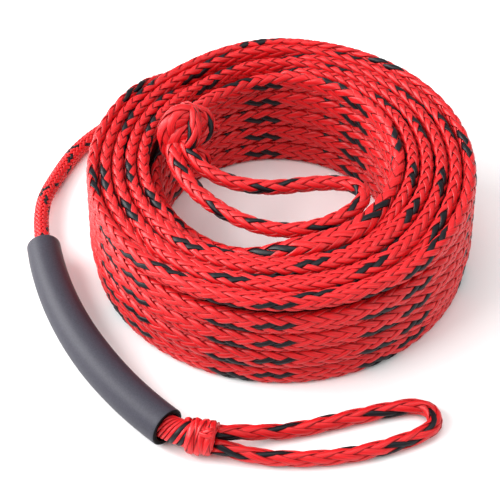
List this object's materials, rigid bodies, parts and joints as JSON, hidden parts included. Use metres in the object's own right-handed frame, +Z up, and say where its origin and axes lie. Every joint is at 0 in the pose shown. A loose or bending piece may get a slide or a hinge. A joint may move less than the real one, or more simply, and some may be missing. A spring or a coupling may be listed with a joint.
{
  "type": "tow rope with sleeved handle end",
  "caption": "Coiled hollow-braid tow rope with a knotted eye at each end and a loose foam sleeve on the lead to its towing eye.",
  "frame": {"origin": "centre of the whole object's footprint, on the floor that it lies on", "axes": "+Z up along the coil's axis, -Y towards the towing eye at the front, +X to the right along the towing eye"},
  "size_m": [0.2853, 0.3691, 0.0973],
  "materials": {
    "rope": "hollow-braid polyethylene, red with black tracer strands, satin filaments",
    "foam": "extruded closed-cell EVA foam, matt dark grey skin with black cut ends"
  },
  "bodies": {
    "rope": {"rope_coil": "rope", "inner_lead": "rope", "inner_knot": "rope", "inner_eye": "rope", "inner_tail": "rope", "lead_rope": "rope", "handle_knot": "rope", "handle_eye": "rope", "handle_tail": "rope"},
    "sleeve": {"foam_sleeve": "foam"}
  },
  "joints": [
    {"name": "sleeve_slide", "type": "hinge", "parent": "rope", "child": "sleeve", "pos_m": [0.1385, 0.0385, 0.01225], "axis": [0, 0, -1], "range_deg": [0, 5.9]}
  ]
}
